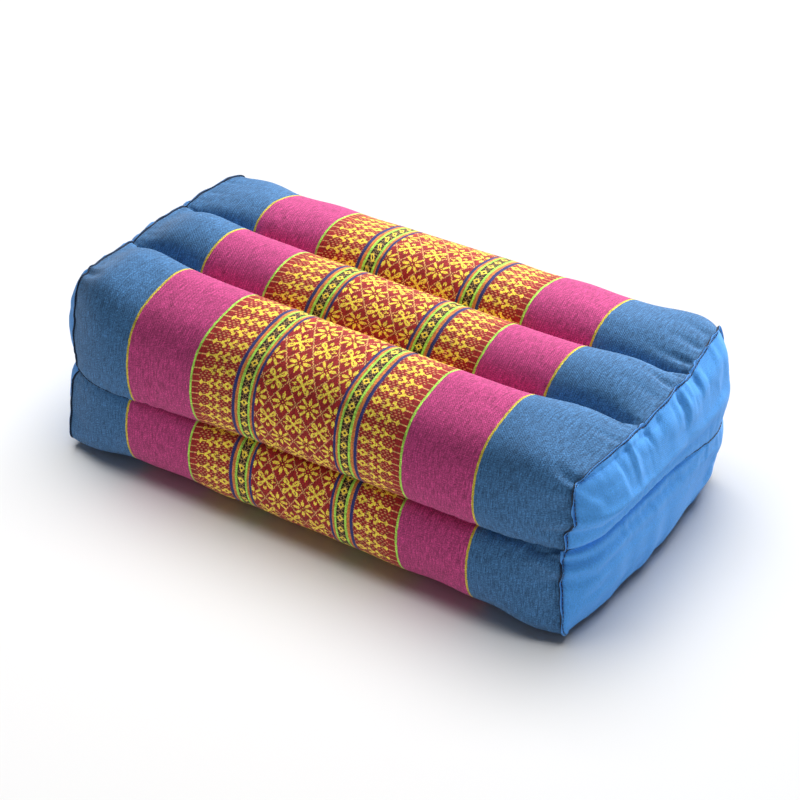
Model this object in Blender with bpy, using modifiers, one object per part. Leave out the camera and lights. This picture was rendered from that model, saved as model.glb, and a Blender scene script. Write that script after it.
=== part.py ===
"""Block-shaped floor cushion of sewn, filled tubes: three across and two deep.

A striped cloth is wrapped round the filling lengthwise. Lines of stitching hold it down along
the tubes, two on top, two underneath and one on each long side. A plain panel closes each end,
and the seam round that panel stands up as a narrow ridge.

Metres, +Z up. X runs along the tubes, Y across them. The origin is on the floor under the middle.
"""

import bpy
import numpy as np

MM = 0.001

# The wrapped cloth at the middle of the cushion
FRONT_HALF_WIDTHS = 107 * MM, 103 * MM  # at the base, at the top
BACK_HALF_WIDTHS = 108.6 * MM, 98 * MM
HEIGHT_FRONT = 122 * MM
HEIGHT_BACK = 115.5 * MM
BACK_RISE = 0.04  # the back top tube stands this much higher for each metre to the right
BACK_SHARE_POWER = 3
BOX_POWER = 4.4
FLOOR_SINK = 1.2 * MM

# The wrapped cloth where the end panels are sewn on
END_HALF_WIDTH_BASE = 95 * MM
END_HALF_WIDTH_TOP = 87 * MM
END_TOP = 109 * MM
END_BASE = 3 * MM
END_BOX_POWER = 14.0
CORNER_X = 171.5 * MM
END_BOW = 6 * MM
WIDTH_TAPER = 48 * MM
HEIGHT_TAPER = 60 * MM
TAPER_POWER = 2.2
PULL_POWER = 1.5

# Stitch lines: where they run, how deep they pull the cloth in, and how far the pull reaches
SIDE_SEAM_Z = 59 * MM
SIDE_SEAM_RISE = 0.02  # for each metre to the right
TUBE_HALF_WIDTH = 29 * MM
GROOVES = {
    # stitch line: depth at the middle, depth at the ends, reach to either side
    "top": (21 * MM, 2.5 * MM, 30 * MM),
    "side": (15 * MM, 3.0 * MM, 26 * MM),
    "base": (13 * MM, 2.5 * MM, 20 * MM),
}
GROOVE_TAPER = 52 * MM

# End panels
PANEL_THICKNESS = 1.6 * MM
PANEL_GAP = 0.45 * MM
PANEL_INSET = 2.0 * MM
PANEL_RISE = 0.6
CREASE_BOW = 9 * MM
CREASE_POWER = 2.5
UPPER_PUFF = 9 * MM
LOWER_PUFF = 4 * MM
PUFF_POWER = 0.6
SIDE_FALL_POWER = 4

# Raised seams round the end panels
RIDGE_ROOT = 0.9 * MM
RIDGE_HEIGHT = 3.6 * MM
RIDGE_THICKNESS = 1.6 * MM
RIDGE_CUT_BELOW = 0.6
FLOOR_GAP = 0.3 * MM

# Mesh density: rings by their distance in from an end seam, and steps across each tube's cloth
RING_INSETS = [0, 2.5, 7, 13, 21, 31, 43, 58, 80, 108, 140]
CORNER_STEPS = 14
MIDDLE_STEPS = 8
EVEN_STEP_SHARE = 0.6  # the rest of the steps close up beside the stitch lines
PANEL_ROWS = 4
PANEL_ROW_POWER = 1.3
OUTLINE_SAMPLES = 2400

# How far each corner of the ends was pulled out of true when it was sewn, in millimetres
CORNER_PULLS = [
    # end, side, level, x, y, z
    (-1, -1, 1, -1.5, 9.0, 5.0),
    (-1, 1, 1, 0.0, 0.0, -2.5),
    (-1, -1, -1, -1.5, -5.0, -1.0),
    (-1, 1, -1, -1.5, 0.0, 0.0),
    (1, -1, 1, 1.5, -1.0, 0.0),
    (1, 1, 1, -2.0, 2.0, 5.0),
    (1, -1, -1, 0.0, 0.0, 0.0),
    (1, 1, -1, -1.5, -2.0, 0.0),
]

COLOURS = {
    # material: colour, roughness
    "striped_cloth": ((0.36, 0.06, 0.13, 1), 0.85),
    "panel_cloth": ((0.05, 0.24, 0.62, 1), 0.8),
    "seam_cloth": ((0.02, 0.05, 0.12, 1), 0.85),
}


def clear_scene():
    for old in list(bpy.data.objects):
        bpy.data.objects.remove(old)


def collection_for(name):
    made = bpy.data.collections.new(name)
    bpy.context.scene.collection.children.link(made)
    return made


def cloth_material(name):
    colour, roughness = COLOURS[name]
    made = bpy.data.materials.new(name)
    made.use_nodes = True
    shader = made.node_tree.nodes["Principled BSDF"]
    shader.inputs["Base Color"].default_value = colour
    shader.inputs["Roughness"].default_value = roughness
    shader.inputs["Metallic"].default_value = 0.0
    return made


def fading(distance, reach, power=TAPER_POWER):
    """1 at distance 0, falling smoothly to 0 at the reach."""
    return np.clip(1 - distance / reach, 0, 1) ** power


def rounded_box(inset, x):
    """The section without its stitch lines: a superellipse, |y/a|^p + |z/b|^p = 1, that starts
    at the front stitch line and runs up, over the top, down the back and along the base."""
    narrowing = fading(inset, WIDTH_TAPER)
    lowering = fading(inset, HEIGHT_TAPER)
    power = BOX_POWER + (END_BOX_POWER - BOX_POWER) * narrowing
    turn = np.linspace(0, 2 * np.pi, OUTLINE_SAMPLES + 1)
    across = -np.sign(np.cos(turn)) * np.abs(np.cos(turn)) ** (2 / power)
    up = np.sign(np.sin(turn)) * np.abs(np.sin(turn)) ** (2 / power)

    back = ((across + 1) / 2) ** BACK_SHARE_POWER
    tops = HEIGHT_FRONT + (HEIGHT_BACK + BACK_RISE * x - HEIGHT_FRONT) * back
    tops += (END_TOP - tops) * lowering
    base = -FLOOR_SINK + (END_BASE + FLOOR_SINK) * lowering
    waist = SIDE_SEAM_Z + SIDE_SEAM_RISE * x
    z = waist + np.where(up > 0, up * (tops - waist), up * (waist - base))

    level = np.clip(z / HEIGHT_FRONT, 0, 1)
    front_width = FRONT_HALF_WIDTHS[0] + (FRONT_HALF_WIDTHS[1] - FRONT_HALF_WIDTHS[0]) * level
    back_width = BACK_HALF_WIDTHS[0] + (BACK_HALF_WIDTHS[1] - BACK_HALF_WIDTHS[0]) * level
    width = front_width + (back_width - front_width) * back
    end_width = END_HALF_WIDTH_BASE + (END_HALF_WIDTH_TOP - END_HALF_WIDTH_BASE) * level
    return np.stack([across * (width + (end_width - width) * narrowing), z], axis=1)


def lengths_along(points):
    """How far along the outline each of its points lies."""
    steps = np.linalg.norm(np.diff(points, axis=0), axis=1)
    return np.concatenate([[0], np.cumsum(steps)])


def stitch_lines(box, along):
    """Where the six stitch lines cross the section, as (kind, distance along the outline)."""
    half = len(box) // 2
    over, under = slice(0, half + 1), slice(half, len(box))
    top = np.interp([-TUBE_HALF_WIDTH, TUBE_HALF_WIDTH], box[over, 0], along[over])
    base = np.interp([-TUBE_HALF_WIDTH, TUBE_HALF_WIDTH], box[under, 0][::-1], along[under][::-1])
    return [
        ("side", 0.0),
        ("top", top[0]),
        ("top", top[1]),
        ("side", along[half]),
        ("base", base[1]),
        ("base", base[0]),
        ("side", along[-1]),
    ]


def groove_depth(kind, distance, inset):
    """How far a stitch line pulls the cloth in: the gap between a quarter ellipse, which is the
    tube's swelling, and its top."""
    middle, end, reach = GROOVES[kind]
    depth = middle + (end - middle) * fading(inset, GROOVE_TAPER)
    near = np.clip(1 - distance / reach, 0, 1)
    return depth * (1 - np.sqrt(1 - near**2))


def points_at(box, along, place):
    """The outline's points at these distances along it."""
    return np.stack([np.interp(place, along, box[:, k], period=along[-1]) for k in (0, 1)], axis=1)


def section(inset, x):
    """The closed outline of the wrapped cloth, as (y, z) points. Each tube's cloth has a fixed
    number of steps, closer together beside the stitch lines."""
    box = rounded_box(inset, x)
    along = lengths_along(box)
    lines = stitch_lines(box, along)
    steps = [CORNER_STEPS, MIDDLE_STEPS, CORNER_STEPS, CORNER_STEPS, MIDDLE_STEPS, CORNER_STEPS]
    outline = []
    for (kind, start), (next_kind, end), count in zip(lines, lines[1:], steps):
        even = np.arange(count) / count
        closing_up = (1 - np.cos(np.pi * even)) / 2
        place = start + (end - start) * (EVEN_STEP_SHARE * even + (1 - EVEN_STEP_SHARE) * closing_up)
        points = points_at(box, along, place)
        tangent = points_at(box, along, place + MM) - points_at(box, along, place - MM)
        tangent /= np.linalg.norm(tangent, axis=1, keepdims=True)
        outward = np.stack([-tangent[:, 1], tangent[:, 0]], axis=1)
        depth = groove_depth(kind, place - start, inset) + groove_depth(next_kind, end - place, inset)
        outline.append(points - outward * depth[:, None])
    outline = np.concatenate(outline)
    outline[:, 1] = np.maximum(outline[:, 1], 0)
    return outline


def pulled(points, end):
    """Moves the points near an end by the pulls on its corners, less with each step inward."""
    points = points.copy()
    middle_z = (END_TOP + END_BASE) / 2
    across = points[:, 1] / END_HALF_WIDTH_TOP
    up = (points[:, 2] - middle_z) / (END_TOP - middle_z)
    fade = fading(CORNER_X - end * points[:, 0], GROOVE_TAPER, PULL_POWER)
    for corner_end, side, level, *pull in CORNER_PULLS:
        if corner_end == end:
            weight = np.clip(side * across, 0, 1) ** 2 * np.clip(level * up, 0, 1) ** PULL_POWER * fade
            points += weight[:, None] * np.array(pull) * MM
    return points


def ring(inset, end):
    """One ring of the wrapped cloth, in place. The seam bows outward between the corners."""
    outline = section(inset, end * (CORNER_X - inset))
    bow = END_BOW * fading(inset, GROOVE_TAPER) * np.clip(1 - (outline[:, 0] / END_HALF_WIDTH_TOP) ** 2, 0, 1)
    x = end * (CORNER_X - inset + bow)
    points = pulled(np.column_stack([x, outline]), end)
    points[:, 2] = np.maximum(points[:, 2], 0)
    return points


def body_rings():
    """All rings of the filled body from left to right. The first and last are the end panels'
    outlines, and the seams are the rings next to them."""
    insets = [i * MM for i in RING_INSETS]
    left = [ring(i, -1) for i in insets]
    right = [ring(i, 1) for i in reversed(insets)]
    outline = section(CORNER_X, 0)
    middle = np.column_stack([np.zeros(len(outline)), outline])
    return np.array([panel_edge(left[0], -1)] + left + [middle] + right + [panel_edge(right[-1], 1)])


def panel_edge(seam, end):
    """The end panel's outline: the seam's own, moved inward all round and a little outward in X."""
    across = np.roll(seam, -1, axis=0) - np.roll(seam, 1, axis=0)
    across /= np.linalg.norm(across[:, 1:], axis=1, keepdims=True)
    inward = np.column_stack([np.zeros(len(seam)), across[:, 2], -across[:, 1]])
    return seam + PANEL_INSET * inward + [end * PANEL_INSET * PANEL_RISE, 0, 0]


def end_rows(outline, end):
    """Rows of points over an end, from the outline's base edge up to its top edge.

    The crease is the straight line between the two side stitch lines, bowed outward. Each half
    of the end swells between the crease and the outline like half an ellipse."""
    half = len(outline) // 2
    front, back = outline[0], outline[half]
    upper = outline[: half + 1]
    lower = np.concatenate([outline[half:], outline[:1]])[::-1]

    def swelling(edge, puff, share):
        arc = lengths_along(edge[:, 1:])
        level = (edge[:, 1] - front[1]) / (back[1] - front[1])
        place = np.clip((arc / arc[-1] + level) / 2, 0, 1)
        crease = front + (back - front) * place[:, None]
        bow = CREASE_BOW * (1 - share**CREASE_POWER)
        swell = puff * (4 * share * (1 - share)) ** PUFF_POWER
        points = crease + (edge - crease) * share
        points[:, 0] += end * (bow + swell) * (1 - np.abs(2 * place - 1) ** SIDE_FALL_POWER)
        return points

    shares = np.sin(np.linspace(0, np.pi / 2, PANEL_ROWS + 1)) ** PANEL_ROW_POWER
    below = [swelling(lower, LOWER_PUFF, s) for s in shares[:0:-1]]
    return below + [swelling(upper, UPPER_PUFF, s) for s in shares]


def new_object(name, points, faces, material, collection):
    mesh = bpy.data.meshes.new(name)
    mesh.from_pydata([tuple(p) for p in points], [], faces)
    mesh.validate()
    mesh.materials.append(material)
    made = bpy.data.objects.new(name, mesh)
    collection.objects.link(made)
    return made


def end_faces(count, rows, index, end):
    """Faces over one end, whose rows share their two end points with the crease's. The index is
    a function of a row's number and a point's number in it."""
    faces = []
    for r in range(rows - 1):
        for i in range(count - 1):
            loop = [index(r, i), index(r, i + 1), index(r + 1, i + 1), index(r + 1, i)]
            loop = list(dict.fromkeys(loop))
            if len(loop) > 2:
                faces.append(loop if end > 0 else loop[::-1])
    return faces


def build_wrap(rings, material, collection):
    """The filled body in its striped wrap: a loft through the rings, closed by both ends."""
    rows, count = rings.shape[:2]
    points = list(rings.reshape(-1, 3))
    faces = []
    for r in range(rows - 1):
        for i in range(count):
            j = (i + 1) % count
            faces.append([r * count + i, (r + 1) * count + i, (r + 1) * count + j, r * count + j])
    half = count // 2
    for end, seam_row in ((-1, 0), (1, rows - 1)):
        layers = end_rows(rings[seam_row], end)
        last = len(layers) - 1
        start = len(points)
        for layer in layers[1:last]:
            points.extend(layer[1:-1])

        def index(r, i, seam=seam_row * count, start=start, last=last):
            if i == 0:
                return seam
            if i == half:
                return seam + half
            if r == 0:
                return seam + count - i
            if r == last:
                return seam + i
            return start + (r - 1) * (half - 1) + i - 1

        faces += end_faces(half + 1, last + 1, index, end)
    return new_object("filled_wrap", points, faces, material, collection)


def raise_along_normals(mesh, amount):
    """Moves a surface outward along its own normals."""
    for vertex, normal in [(v, v.normal.copy()) for v in mesh.vertices]:
        vertex.co += normal * amount


def build_end_panel(name, outline, end, material, collection):
    """One end panel: a sheet over the swelling end, stitched in along the crease."""
    layers = end_rows(outline, end)
    middle, last = len(layers) // 2, len(layers[0]) - 1
    points, index_of = [], {}
    for r, layer in enumerate(layers):
        for i, point in enumerate(layer):
            if r == middle or i not in (0, last):
                index_of[r, i] = len(points)
                points.append(point)

    def index(r, i):
        return index_of[(middle, i) if i in (0, last) else (r, i)]

    panel = new_object(name, points, end_faces(last + 1, len(layers), index, end), material, collection)
    raise_along_normals(panel.data, PANEL_GAP)
    sheet = panel.modifiers.new("thickness", "SOLIDIFY")
    sheet.thickness = PANEL_THICKNESS
    sheet.offset = 1
    return panel


def build_end_seam(name, seam, leans, material, collection):
    """The raised seam round one end: a closed band that stands out between wrap and panel."""
    height = RIDGE_HEIGHT * (1 - RIDGE_CUT_BELOW * np.clip(-leans[:, 2:], 0, 1))
    root = seam + leans * RIDGE_ROOT
    edge = root + leans * height
    for row in (root, edge):
        row[:, 2] = np.maximum(row[:, 2], RIDGE_THICKNESS / 2 + FLOOR_GAP)
    count = len(seam)
    faces = []
    for i in range(count):
        j = (i + 1) % count
        faces.append([i, j, count + j, count + i])
    band = new_object(name, np.concatenate([root, edge]), faces, material, collection)
    sheet = band.modifiers.new("thickness", "SOLIDIFY")
    sheet.thickness = RIDGE_THICKNESS
    sheet.offset = 0
    return band


def build():
    clear_scene()
    cushion = collection_for("block_cushion")
    rings = body_rings()
    wrap = build_wrap(rings, cloth_material("striped_cloth"), cushion)
    normals = np.array([v.normal for v in wrap.data.vertices])[: rings.shape[0] * rings.shape[1]]
    normals = normals.reshape(rings.shape)
    panel_cloth = cloth_material("panel_cloth")
    seam_cloth = cloth_material("seam_cloth")
    for name, end, edge, seam in (("left", -1, 0, 1), ("right", 1, -1, -2)):
        build_end_panel(f"end_panel_{name}", rings[edge], end, panel_cloth, cushion)
        build_end_seam(f"end_seam_{name}", rings[seam], normals[seam], seam_cloth, cushion)


build()
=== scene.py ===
"""The looks of the meditation cushion: a block of kapok-filled tubes, three across and two deep.

A brocade-woven cotton wrap goes round the tubes, with its stripes round the girth, and is sewn
down along six lines. A plain blue panel closes each end, and the seam between them stands up as
a narrow ridge. Metres, +Z up, X along the tubes, the front long side towards -Y.
"""

from functools import partial, reduce

import bpy
import numpy as np
from mathutils import Matrix, Vector


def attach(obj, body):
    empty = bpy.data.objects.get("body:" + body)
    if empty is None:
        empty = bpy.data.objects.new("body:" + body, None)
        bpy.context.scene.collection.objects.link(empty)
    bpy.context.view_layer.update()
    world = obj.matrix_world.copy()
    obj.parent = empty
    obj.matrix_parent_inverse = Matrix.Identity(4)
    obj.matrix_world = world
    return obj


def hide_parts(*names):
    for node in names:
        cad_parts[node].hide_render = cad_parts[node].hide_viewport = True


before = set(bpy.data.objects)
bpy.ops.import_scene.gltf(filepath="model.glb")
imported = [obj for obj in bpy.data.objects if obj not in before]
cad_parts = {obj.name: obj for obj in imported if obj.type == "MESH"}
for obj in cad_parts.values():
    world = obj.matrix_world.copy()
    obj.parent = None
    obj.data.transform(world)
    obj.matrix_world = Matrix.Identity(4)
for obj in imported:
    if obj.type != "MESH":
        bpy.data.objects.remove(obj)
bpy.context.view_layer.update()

MM = 0.001

# Camera, solved from the seams and stripes: the object is seen 33 degrees to the right of its
# front and 35 degrees above the floor
CAMERA_PLACE = Vector((0.6714, -1.0163, 0.9113))
CAMERA_AZIMUTH = np.radians(33.247)
CAMERA_ELEVATION = np.radians(35.436)
CAMERA_LENS_MM = 111.516
SENSOR_MM = 36

# The wrap at the middle of the cushion
FRONT_HALF_WIDTHS = 107 * MM, 103 * MM  # at the base, at the top
BACK_HALF_WIDTHS = 108.6 * MM, 98 * MM
HEIGHT_FRONT = 122 * MM
HEIGHT_BACK = 115.5 * MM
BACK_RISE = 0.04
BACK_SHARE_POWER = 3
BOX_POWER = 4.4
FLOOR_SINK = 1.2 * MM

# The wrap where the end panels are sewn on
END_HALF_WIDTH_BASE = 95 * MM
END_HALF_WIDTH_TOP = 87 * MM
END_TOP = 109 * MM
END_BASE = 3 * MM
END_BOX_POWER = 14.0
CORNER_X = 171.5 * MM
END_BOW = 6 * MM
WIDTH_TAPER = 48 * MM
HEIGHT_TAPER = 60 * MM
TAPER_POWER = 2.2
PULL_POWER = 1.5

# Lines that the wrap is sewn down along
SIDE_SEAM_Z = 59 * MM
SIDE_SEAM_RISE = 0.02
TUBE_HALF_WIDTH = 29 * MM
GROOVES = {
    # line: depth at the middle, depth at the ends, reach to either side
    "top": (21 * MM, 2.5 * MM, 30 * MM),
    "side": (15 * MM, 3.0 * MM, 26 * MM),
    "base": (13 * MM, 2.5 * MM, 20 * MM),
}
GROOVE_TAPER = 52 * MM
LEFT_SIDE_DEPTH = 1.0 * MM
LEFT_SIDE_TAPER = 125 * MM

# End panels
PANEL_THICKNESS = 1.0 * MM
PANEL_INSET = 0.1 * MM
PANEL_RISE = 0.5 * MM
CREASE_BOW = 11 * MM
CREASE_POWER = 2.5
UPPER_PUFFS = {-1: 8.5 * MM, 1: 6.5 * MM}
LOWER_PUFF = 5.0 * MM
PUFF_POWER = 0.6
SIDE_FALL_POWER = 8

# Raised seams
RIDGE_ROOT = -0.5 * MM
RIDGE_HEIGHTS = {-1: 1.5 * MM, 1: 2.3 * MM}
RIDGE_THICKNESS = 1.2 * MM
RIDGE_CUT_BELOW = 0.75
RIDGE_SIDES = 14
FLOOR_GAP = 0.3 * MM

CORNER_PULLS = [
    # end, side, level, x, y, z: how far each corner was pulled out of true, in millimetres
    (-1, -1, 1, -1.5, 9.0, 5.0),
    (-1, 1, 1, 0.0, 0.0, -2.5),
    (-1, -1, -1, -1.5, -5.0, -1.0),
    (-1, 1, -1, -1.5, 0.0, 0.0),
    (1, -1, 1, 1.5, -1.0, 0.0),
    (1, 1, 1, -2.0, 2.0, 5.0),
    (1, -1, -1, 0.0, 0.0, 0.0),
    (1, 1, -1, -1.5, -2.0, 0.0),
]

# Mesh density
CORNER_STEPS = 66
MIDDLE_STEPS = 36
CORNER_INDEX = 32  # steps from a side stitch line to the corner of an end
HALF_STATIONS = 120
STATION_POWER = 1.15
EVEN_STEP_SHARE = 0.6
OUTLINE_SAMPLES = 2400


# Shape of the filled wrap


def fading(distance, reach, power=TAPER_POWER):
    """1 at distance 0, falling smoothly to 0 at the reach."""
    return np.clip(1 - distance / reach, 0, 1) ** power


def between(first, last, share):
    """The value that lies this share of the way from the first to the last."""
    return first + (last - first) * share


def unit(vectors):
    """The vectors at length 1."""
    return vectors / np.linalg.norm(vectors, axis=-1, keepdims=True)


def rounded_box(inset, x):
    """The section without its stitch lines: a superellipse, |y/a|^p + |z/b|^p = 1, that starts
    at the front stitch line and runs up, over the top, down the back and along the base."""
    narrowing = fading(inset, WIDTH_TAPER)
    lowering = fading(inset, HEIGHT_TAPER)
    power = between(BOX_POWER, END_BOX_POWER, narrowing)
    turn = np.linspace(0, 2 * np.pi, OUTLINE_SAMPLES + 1)
    across = -np.sign(np.cos(turn)) * np.abs(np.cos(turn)) ** (2 / power)
    up = np.sign(np.sin(turn)) * np.abs(np.sin(turn)) ** (2 / power)
    back = ((across + 1) / 2) ** BACK_SHARE_POWER
    tops = between(HEIGHT_FRONT, HEIGHT_BACK + BACK_RISE * x, back)
    tops = between(tops, END_TOP, lowering)
    base = between(-FLOOR_SINK, END_BASE, lowering)
    waist = SIDE_SEAM_Z + SIDE_SEAM_RISE * x
    z = waist + np.where(up > 0, up * (tops - waist), up * (waist - base))
    level = np.clip(z / HEIGHT_FRONT, 0, 1)
    width = between(between(*FRONT_HALF_WIDTHS, level), between(*BACK_HALF_WIDTHS, level), back)
    end_width = between(END_HALF_WIDTH_BASE, END_HALF_WIDTH_TOP, level)
    return np.stack([across * between(width, end_width, narrowing), z], axis=1)


def lengths_along(points):
    """How far along a line of points each of them lies."""
    steps = np.linalg.norm(np.diff(points, axis=0), axis=1)
    return np.concatenate([[0], np.cumsum(steps)])


def stitch_lines(box, along, inset, x):
    """Where the six stitch lines cross the section, as (kind, distance along the outline). The
    lines on top run a little backwards near the ends."""
    half = len(box) // 2
    over, under = slice(0, half + 1), slice(half, len(box))
    drift = np.array(TOP_LINE_DRIFTS[int(np.sign(x))]) * fading(inset, DRIFT_REACH, PULL_POWER) * MM
    top = np.interp(drift + [-TUBE_HALF_WIDTH, TUBE_HALF_WIDTH], box[over, 0], along[over])
    base = np.interp([-TUBE_HALF_WIDTH, TUBE_HALF_WIDTH], box[under, 0][::-1], along[under][::-1])
    return [
        ("side", 0.0),
        ("top", top[0]),
        ("top", top[1]),
        ("side", along[half]),
        ("base", base[1]),
        ("base", base[0]),
        ("side", along[-1]),
    ]


# How far the front and the back line on top have drifted at each end, in mm
TOP_LINE_DRIFTS = {-1: (7.0, 3.0), 0: (0.0, 0.0), 1: (11.0, 10.0)}
DRIFT_REACH = 60 * MM


def groove_depth(kind, distance, inset, x):
    """How far a stitch line pulls the cloth in: a quarter ellipse, which is the tube's swelling,
    taken from its top."""
    middle, end, reach = GROOVES[kind]
    shallow = fading(inset, GROOVE_TAPER)
    if kind == "side" and x < 0:
        end = LEFT_SIDE_DEPTH
        shallow = fading(inset, LEFT_SIDE_TAPER, 1)
    depth = between(middle, end, shallow)
    near = np.clip(1 - distance / reach, 0, 1)
    return depth * (1 - np.sqrt(1 - near**2))


def points_at(box, along, place):
    """The outline's points at these distances along it."""
    return np.stack([np.interp(place, along, box[:, k], period=along[-1]) for k in (0, 1)], axis=1)


TUBE_STEPS = [CORNER_STEPS, MIDDLE_STEPS, CORNER_STEPS, CORNER_STEPS, MIDDLE_STEPS, CORNER_STEPS]
LINE_INDICES = np.cumsum([0] + TUBE_STEPS)  # where along the girth the stitch lines lie
GIRTH_STEPS = LINE_INDICES[-1]


def section(inset, x):
    """The closed outline of the wrap, as (y, z) points: the rounded box less its grooves, with
    a fixed number of steps to each tube's cloth, closer together beside the stitch lines."""
    box = rounded_box(inset, x)
    along = lengths_along(box)
    lines = stitch_lines(box, along, inset, x)
    outline = []
    for (kind, start), (next_kind, end), count in zip(lines, lines[1:], TUBE_STEPS):
        even = np.arange(count) / count
        closing_up = (1 - np.cos(np.pi * even)) / 2
        share = EVEN_STEP_SHARE * even + (1 - EVEN_STEP_SHARE) * closing_up
        place = between(start, end, share)
        points = points_at(box, along, place)
        tangent = unit(points_at(box, along, place + MM) - points_at(box, along, place - MM))
        outward = np.stack([-tangent[:, 1], tangent[:, 0]], axis=1)
        depth = groove_depth(kind, place - start, inset, x)
        depth += groove_depth(next_kind, end - place, inset, x)
        points = points - outward * depth[:, None]
        nearest = np.minimum(place - start, end - place)
        raised = np.clip((points[:, 1] - CREST_LEVEL) / CREST_FADE, 0, 1)
        raised *= np.clip((CREST_BACK - points[:, 0]) / CREST_FADE, 0, 1)
        raised *= 1 - np.exp(-((nearest / CREST_EDGE) ** 2))
        points[:, 1] += CREST_RISE * beside(inset, CREST_REACH) ** 3 * raised
        outline.append(points)
    return np.concatenate(outline)


# Near their ends the front and the middle tube are fuller on top
CREST_RISE = 4.5 * MM
CREST_REACH = 24 * MM
CREST_LEVEL = 88 * MM
CREST_FADE = 25 * MM
CREST_BACK = 45 * MM
CREST_EDGE = 4 * MM


def pulled(points, end):
    """Moves the points near an end by the pulls on its corners, less with each step inward."""
    points = points.copy()
    middle_z = (END_TOP + END_BASE) / 2
    across = points[:, 1] / END_HALF_WIDTH_TOP
    up = (points[:, 2] - middle_z) / (END_TOP - middle_z)
    fade = fading(CORNER_X - end * points[:, 0], GROOVE_TAPER, PULL_POWER)
    for corner_end, side, level, *pull in CORNER_PULLS:
        if corner_end == end:
            weight = np.clip(side * across, 0, 1) ** 2 * np.clip(level * up, 0, 1) ** PULL_POWER * fade
            points += weight[:, None] * np.array(pull) * MM
    return points


def ring(inset, end):
    """One ring of the wrap, in place. The seam bows outward between the corners."""
    outline = section(inset, end * (CORNER_X - inset))
    bow = END_BOW * fading(inset, GROOVE_TAPER)
    bow *= np.clip(1 - (outline[:, 0] / END_HALF_WIDTH_TOP) ** 2, 0, 1)
    points = np.column_stack([end * (CORNER_X - inset + bow), outline])
    points = pulled(points, end)
    points[:, 2] = np.maximum(points[:, 2], 0)
    return points


def wrap_surface():
    """The wrap as rings from the left end seam to the right one: points [station, girth, xyz]."""
    insets = CORNER_X * (np.arange(HALF_STATIONS + 1) / HALF_STATIONS) ** STATION_POWER
    left = [ring(i, -1) for i in insets]
    right = [ring(i, 1) for i in insets[-2::-1]]
    return np.array(left + right)


def middle_girth():
    """How far round the wrap's middle section each of its points lies, in mm, and its length."""
    outline = section(CORNER_X, 0)
    return lengths_along(np.concatenate([outline, outline[:1]])) / MM


def surface_normals(points):
    """Outward normals of a wrap surface: the cross product of its two directions."""
    along = np.gradient(points, axis=0)
    around = (np.roll(points, -1, axis=1) - np.roll(points, 1, axis=1)) / 2
    return unit(np.cross(along, around))


# Shape of the end panels


def panel_edge(seam, end):
    """The end panel's outline: the seam's own, moved inward all round and a little outward in X."""
    across = np.roll(seam, -1, axis=0) - np.roll(seam, 1, axis=0)
    across /= np.linalg.norm(across[:, 1:], axis=1, keepdims=True)
    inward = np.column_stack([np.zeros(len(seam)), across[:, 2], -across[:, 1]])
    return seam + PANEL_INSET * inward + [end * PANEL_RISE, 0, 0]


def patch_between(bottom, top, front, back):
    """A Coons patch, which is the two ruled surfaces between facing edges, less the bilinear
    one through its corners. The result is indexed [bottom to top, front to back, xyz]."""
    a = (lengths_along(bottom) / lengths_along(bottom)[-1])[None, :, None]
    b = (lengths_along(front) / lengths_along(front)[-1])[:, None, None]
    ruled = (1 - b) * bottom[None] + b * top[None] + (1 - a) * front[:, None] + a * back[:, None]
    corners = (1 - b) * ((1 - a) * bottom[0] + a * bottom[-1]) + b * ((1 - a) * top[0] + a * top[-1])
    return ruled - corners


def end_surface(outline, end):
    """The end inside the panel's outline. It is sewn in along a crease at half height that bows
    outward and sags a little towards the back, and swells like half an ellipse above and below
    it. Towards the back the end was stuffed fuller, which is a Gaussian hump."""
    count, k = len(outline), len(outline) * CORNER_INDEX // GIRTH_STEPS
    half = count // 2
    turned = np.roll(outline, k, axis=0)  # starts at the front base corner
    front_lower, front_upper = turned[: k + 1], turned[k : 2 * k + 1]
    top = turned[2 * k : half + 1]
    back_upper = turned[half : half + k + 1][::-1]
    back_lower = turned[half + k : half + 2 * k + 1][::-1]
    base = np.concatenate([turned[half + 2 * k :], turned[:1]])[::-1]
    crease_share = (lengths_along(top) / lengths_along(top)[-1])[:, None]
    crease = front_upper[0] + (back_upper[0] - front_upper[0]) * crease_share
    crease[:, 2:] -= CREASE_SAG * crease_share**SAG_POWER * (1 - crease_share**SAG_END_POWER)
    lower = patch_between(base, crease, front_lower, back_lower)
    upper = patch_between(crease, top, front_upper, back_upper)
    points = np.concatenate([lower, upper[1:]])
    rise = (points[:, :, 2] - points[k, :, 2]) / (points[-1, :, 2] - points[k, :, 2])
    fall = (points[k, :, 2] - points[:, :, 2]) / (points[k, :, 2] - points[0, :, 2])
    above = np.arange(2 * k + 1)[:, None] >= k
    share = np.clip(np.where(above, rise, fall), 0, 1)
    hump = np.exp(-(((points[:, :, 1] - HUMP_PLACE) / HUMP_REACH) ** 2))
    puff = np.where(above, UPPER_PUFFS[end], LOWER_PUFF) * (1 - HUMP_SMOOTHING * hump)
    swell = CREASE_BOW * (1 - share**CREASE_POWER) + puff * (4 * share * (1 - share)) ** PUFF_POWER
    tuck = np.exp(-np.abs(points[:, :, 2] - points[k, :, 2]) / np.where(above, *TUCK_REACH))
    forward = np.clip((TUCK_BACK - points[:, :, 1]) / TUCK_FADE, 0, 1)
    swell -= (CREASE_TUCKS[1] + (CREASE_TUCKS[0] - CREASE_TUCKS[1]) * forward) * tuck
    swell += HUMP * hump * np.where(above, 1 - share**HUMP_TOP_POWER, (1 - share) ** HUMP_BASE_POWER)
    side_fall = 1 - np.abs(2 * crease_share[None, :, 0] - 1) ** SIDE_FALL_POWER
    points[:, :, 0] += end * swell * side_fall
    return points


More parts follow.
